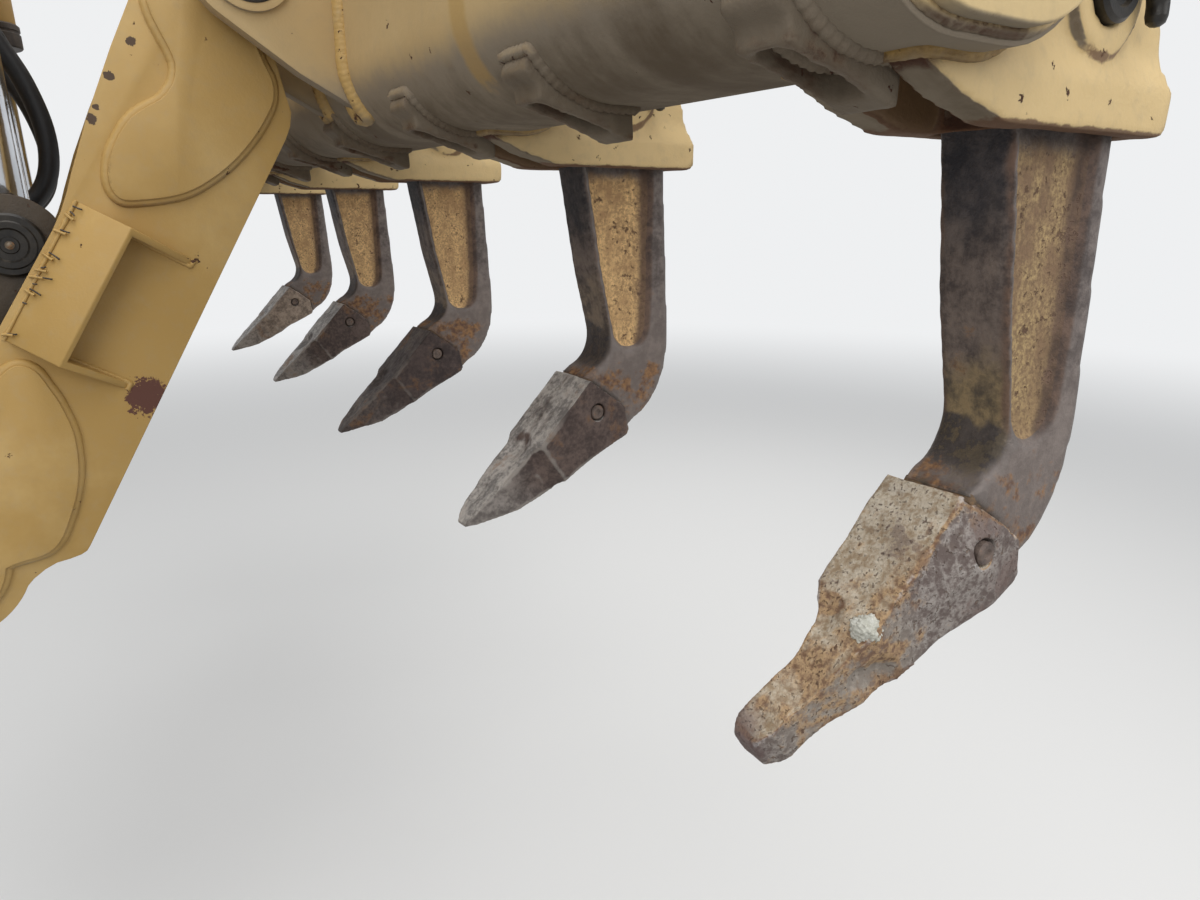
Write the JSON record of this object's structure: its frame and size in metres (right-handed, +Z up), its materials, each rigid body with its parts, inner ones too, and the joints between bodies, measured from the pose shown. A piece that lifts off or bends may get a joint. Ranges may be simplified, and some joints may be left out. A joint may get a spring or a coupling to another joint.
{
  "type": "motor grader rear ripper",
  "caption": "Rear ripper of a motor grader: tool beam with curved shanks and toothed tips, empty scarifier sockets, lift arms, upper links, lift cylinders and mounting frame.",
  "frame": {"origin": "middle of the mounting face, where the frame bolts to the rear of the machine", "axes": "+X to the rear of the machine, +Y to its right, +Z up; left is -Y"},
  "size_m": [1.002, 2.308, 1.302],
  "materials": {
    "yellow_paint": "worn yellow paint with rust at the edges",
    "dirty_paint": "yellow paint under grime",
    "shank_steel": "worn and rusty, paint left in the recesses",
    "tooth_steel": "scoured and rusty",
    "pin_steel": "dull and oily",
    "rod": "bright rod",
    "hose": "black hose"
  },
  "bodies": {
    "mount_frame": {"mounting_plate": "yellow_paint", "side_frame_left": "yellow_paint", "side_frame_right": "yellow_paint", "frame_tubes": "yellow_paint", "link_brackets": "yellow_paint", "arm_pivot_pins": "pin_steel", "barrel_pins": "pin_steel", "link_pivot_pins": "pin_steel", "hose_ports": "pin_steel", "hose_left_lower": "hose", "hose_left_upper": "hose", "hose_right_lower": "hose", "hose_right_upper": "hose"},
    "lift_arms": {"lift_arm_left": "yellow_paint", "lift_arm_right": "yellow_paint", "arm_doublers_left": "yellow_paint", "arm_doublers_right": "yellow_paint", "hose_guards": "yellow_paint", "arm_tube": "yellow_paint", "rod_brackets": "dirty_paint", "rod_pin_caps": "pin_steel"},
    "upper_links": {"upper_link_left": "yellow_paint", "upper_link_right": "yellow_paint"},
    "cylinder_left": {"barrel_left": "yellow_paint", "gland_left": "pin_steel"},
    "cylinder_right": {"barrel_right": "yellow_paint", "gland_right": "pin_steel"},
    "rod_left": {"rod_left": "rod", "rod_eye_left": "dirty_paint"},
    "rod_right": {"rod_right": "rod", "rod_eye_right": "dirty_paint"},
    "tool_beam": {"beam": "yellow_paint", "beam_caps": "yellow_paint", "lower_ears": "yellow_paint", "beam_pins": "pin_steel", "upper_ears": "yellow_paint", "link_ear_pins": "pin_steel", "scarifier_sockets": "yellow_paint", "pocket_1": "yellow_paint", "pocket_2": "yellow_paint", "pocket_3": "yellow_paint", "pocket_4": "yellow_paint", "pocket_5": "yellow_paint", "shank_1": "shank_steel", "shank_2": "shank_steel", "shank_3": "shank_steel", "shank_4": "shank_steel", "shank_5": "shank_steel", "tooth_1": "tooth_steel", "tooth_2": "tooth_steel", "tooth_3": "tooth_steel", "tooth_4": "tooth_steel", "tooth_5": "tooth_steel", "shank_pins": "pin_steel", "tooth_pins": "pin_steel"}
  },
  "joints": [
    {"name": "lift", "type": "hinge", "parent": "mount_frame", "child": "lift_arms", "pos_m": [0.153, 0, -0.56], "axis": [0, 1, 0], "range_deg": [0, 75]},
    {"name": "upper_link_turn", "type": "hinge", "parent": "mount_frame", "child": "upper_links", "pos_m": [0.125, 0, -0.13], "axis": [0, 1, 0], "range_deg": [0, 75]},
    {"name": "beam_level", "type": "hinge", "parent": "lift_arms", "child": "tool_beam", "pos_m": [0.536, 0, 0.065], "axis": [0, 1, 0], "range_deg": [-75, 0]},
    {"name": "cylinder_left_swing", "type": "hinge", "parent": "mount_frame", "child": "cylinder_left", "pos_m": [0.265, -0.247, 0.575], "axis": [0, -1, 0], "range_deg": [0, 14], "deforming": ["hose_left_lower", "hose_left_upper"]},
    {"name": "cylinder_right_swing", "type": "hinge", "parent": "mount_frame", "child": "cylinder_right", "pos_m": [0.265, 0.247, 0.575], "axis": [0, -1, 0], "range_deg": [0, 14], "deforming": ["hose_right_lower", "hose_right_upper"]},
    {"name": "rod_left_slide", "type": "slide", "parent": "cylinder_left", "child": "rod_left", "axis": [0.0176, 0, -0.9998], "range_m": [0, 0.37]},
    {"name": "rod_right_slide", "type": "slide", "parent": "cylinder_right", "child": "rod_right", "axis": [0.0176, 0, -0.9998], "range_m": [0, 0.37]}
  ],
  "couplings": [
    {"joint": "upper_link_turn", "follows": "lift", "ratio": 1},
    {"joint": "beam_level", "follows": "lift", "ratio": -1},
    {"joint": "cylinder_left_swing", "follows": "lift", "ratio": 0.185},
    {"joint": "cylinder_right_swing", "follows": "lift", "ratio": 0.185},
    {"joint": "rod_left_slide", "follows": "lift", "m_per_rad": 0.2819},
    {"joint": "rod_right_slide", "follows": "lift", "m_per_rad": 0.2819}
  ]
}
